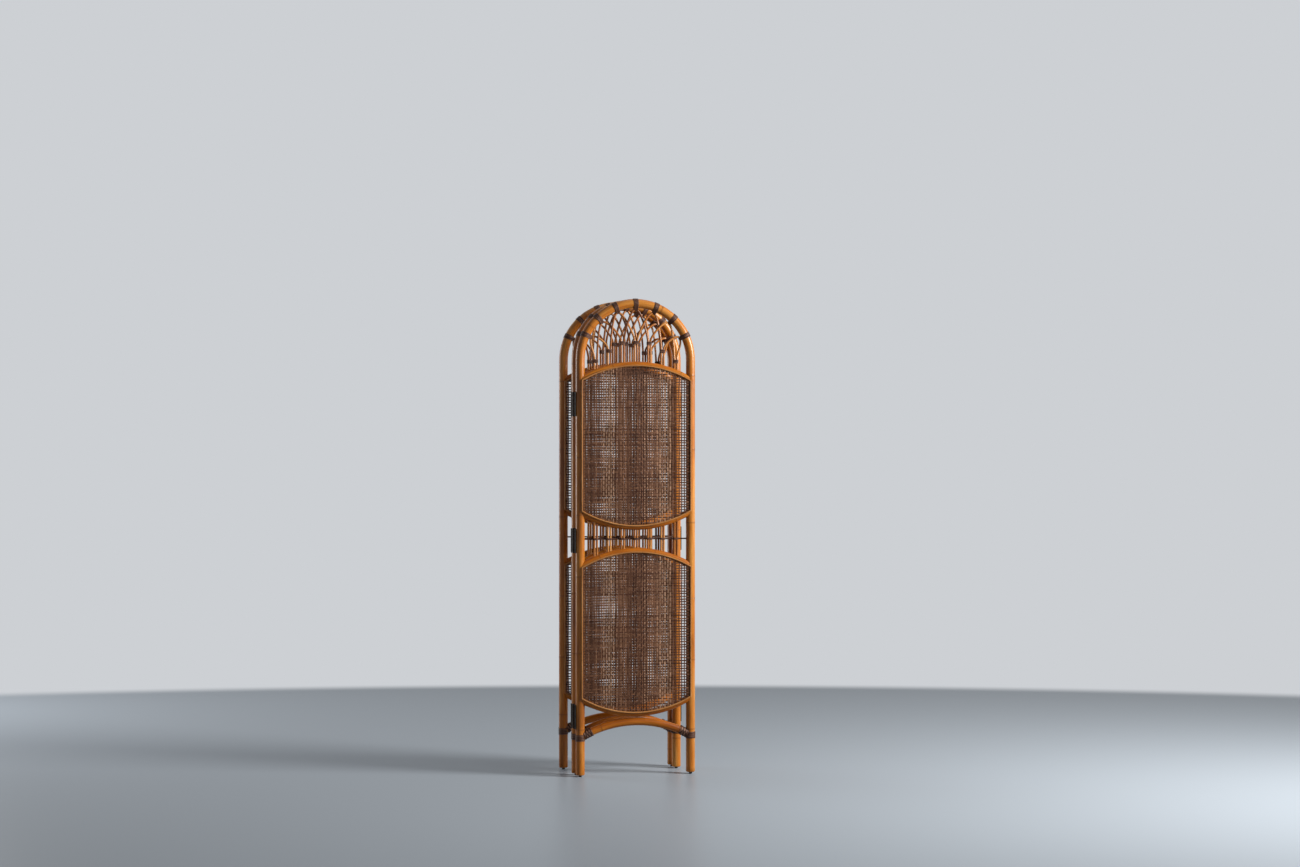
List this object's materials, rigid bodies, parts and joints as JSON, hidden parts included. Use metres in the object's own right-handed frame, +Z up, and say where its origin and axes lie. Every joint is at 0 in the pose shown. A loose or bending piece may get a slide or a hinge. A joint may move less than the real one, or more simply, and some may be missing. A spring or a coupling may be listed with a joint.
{
  "type": "folding room divider screen",
  "caption": "Tall folding screen of arched rattan panels with woven mats, a stick gallery, an interlaced hoop lattice and hinged posts.",
  "frame": {"origin": "on the floor, in the middle of the screen's outline as it stands folded to a narrow Z", "axes": "+Z up; +X along the front panel, to the right for someone who faces its mats; -Y to the front, where the front panel's mats face"},
  "size_m": [0.4898, 0.2634, 1.8019],
  "materials": {
    "pole_rattan": "honey-stained rattan pole under a worn satin varnish",
    "cane_rattan": "thin rattan cane, satin varnish, with dark wound ties",
    "bead_rattan": "split half-round cane, light tan, satin varnish",
    "woven_mat": "open square weave of dark brown split cane, matt",
    "binding": "dark wound strips of cane or skin, satin",
    "aged_steel": "dull steel with a brown-grey patina",
    "black_nylon": "matt black"
  },
  "bodies": {
    "front_panel": {"front_frame": "pole_rattan", "front_lower_top_rail": "pole_rattan", "front_lower_bottom_rail": "pole_rattan", "front_lower_mat": "woven_mat", "front_lower_bead": "bead_rattan", "front_upper_top_rail": "pole_rattan", "front_upper_bottom_rail": "pole_rattan", "front_upper_mat": "woven_mat", "front_upper_bead": "bead_rattan", "front_foot_stretcher": "pole_rattan", "front_gallery": "cane_rattan", "front_arch_lattice": "cane_rattan", "front_left_lashing": "binding", "front_right_lashing": "binding", "front_left_glide": "black_nylon", "front_right_glide": "black_nylon", "front_hinge_bottom_pin_leaf": "aged_steel", "front_hinge_middle_pin_leaf": "aged_steel", "front_hinge_top_pin_leaf": "aged_steel"},
    "middle_panel": {"middle_frame": "pole_rattan", "middle_lower_top_rail": "pole_rattan", "middle_lower_bottom_rail": "pole_rattan", "middle_lower_mat": "woven_mat", "middle_lower_bead": "bead_rattan", "middle_upper_top_rail": "pole_rattan", "middle_upper_bottom_rail": "pole_rattan", "middle_upper_mat": "woven_mat", "middle_upper_bead": "bead_rattan", "middle_foot_stretcher": "pole_rattan", "middle_gallery": "cane_rattan", "middle_arch_lattice": "cane_rattan", "middle_left_lashing": "binding", "middle_right_lashing": "binding", "middle_left_glide": "black_nylon", "middle_right_glide": "black_nylon", "front_hinge_bottom_leaf": "aged_steel", "rear_hinge_bottom_pin_leaf": "aged_steel", "front_hinge_middle_leaf": "aged_steel", "rear_hinge_middle_pin_leaf": "aged_steel", "front_hinge_top_leaf": "aged_steel", "rear_hinge_top_pin_leaf": "aged_steel"},
    "rear_panel": {"rear_frame": "pole_rattan", "rear_lower_top_rail": "pole_rattan", "rear_lower_bottom_rail": "pole_rattan", "rear_lower_mat": "woven_mat", "rear_lower_bead": "bead_rattan", "rear_upper_top_rail": "pole_rattan", "rear_upper_bottom_rail": "pole_rattan", "rear_upper_mat": "woven_mat", "rear_upper_bead": "bead_rattan", "rear_foot_stretcher": "pole_rattan", "rear_gallery": "cane_rattan", "rear_arch_lattice": "cane_rattan", "rear_left_lashing": "binding", "rear_right_lashing": "binding", "rear_left_glide": "black_nylon", "rear_right_glide": "black_nylon", "rear_hinge_bottom_leaf": "aged_steel", "rear_hinge_middle_leaf": "aged_steel", "rear_hinge_top_leaf": "aged_steel"}
  },
  "joints": [
    {"name": "front_hinge", "type": "hinge", "parent": "front_panel", "child": "middle_panel", "pos_m": [-0.21876, -0.08455, 0], "axis": [0, 0, 1], "range_deg": [-14.6, 165.4]},
    {"name": "rear_hinge", "type": "hinge", "parent": "middle_panel", "child": "rear_panel", "pos_m": [0.21816, 0.07886, 0], "axis": [0, 0, 1], "range_deg": [-164.2, 15.8]}
  ]
}
